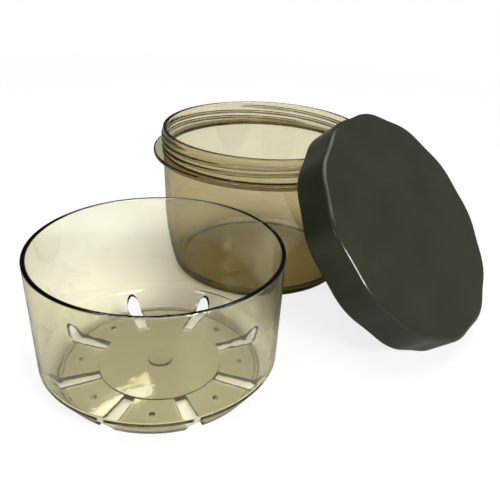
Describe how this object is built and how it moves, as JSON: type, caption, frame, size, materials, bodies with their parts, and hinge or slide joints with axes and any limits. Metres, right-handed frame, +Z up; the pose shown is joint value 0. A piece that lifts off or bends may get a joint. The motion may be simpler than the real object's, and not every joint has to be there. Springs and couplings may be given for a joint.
{
  "type": "bait dip pot",
  "caption": "Clear screw-top dip pot standing open: threaded jar, slotted drain basket set beside it, and a twelve-sided screw lid leaning on the rim.",
  "frame": {"origin": "middle of the flat base of the jar", "axes": "+Z is up along the jar's axis; -Y is towards the viewer and +X is the viewer's right, where the lid leans on the jar"},
  "size_m": [0.1769, 0.1872, 0.0818],
  "materials": {
    "smoke_clear": "clear olive-smoke moulded plastic, gloss",
    "dark_olive": "dark olive moulded plastic, gloss",
    "liner_foam": "soft pale foamed sealing disc, matt"
  },
  "bodies": {
    "jar": {"jar": "smoke_clear"},
    "basket": {"basket": "smoke_clear"},
    "lid": {"lid": "dark_olive", "lid_liner": "liner_foam"}
  },
  "joints": [
    {"name": "basket_lift", "type": "slide", "parent": "jar", "child": "basket", "axis": [0, 0, 1], "range_m": [0, 0.09]},
    {"name": "lid_lift_off", "type": "slide", "parent": "jar", "child": "lid", "axis": [0.6189, -0.4273, 0.6591], "range_m": [0, 0.08]}
  ]
}
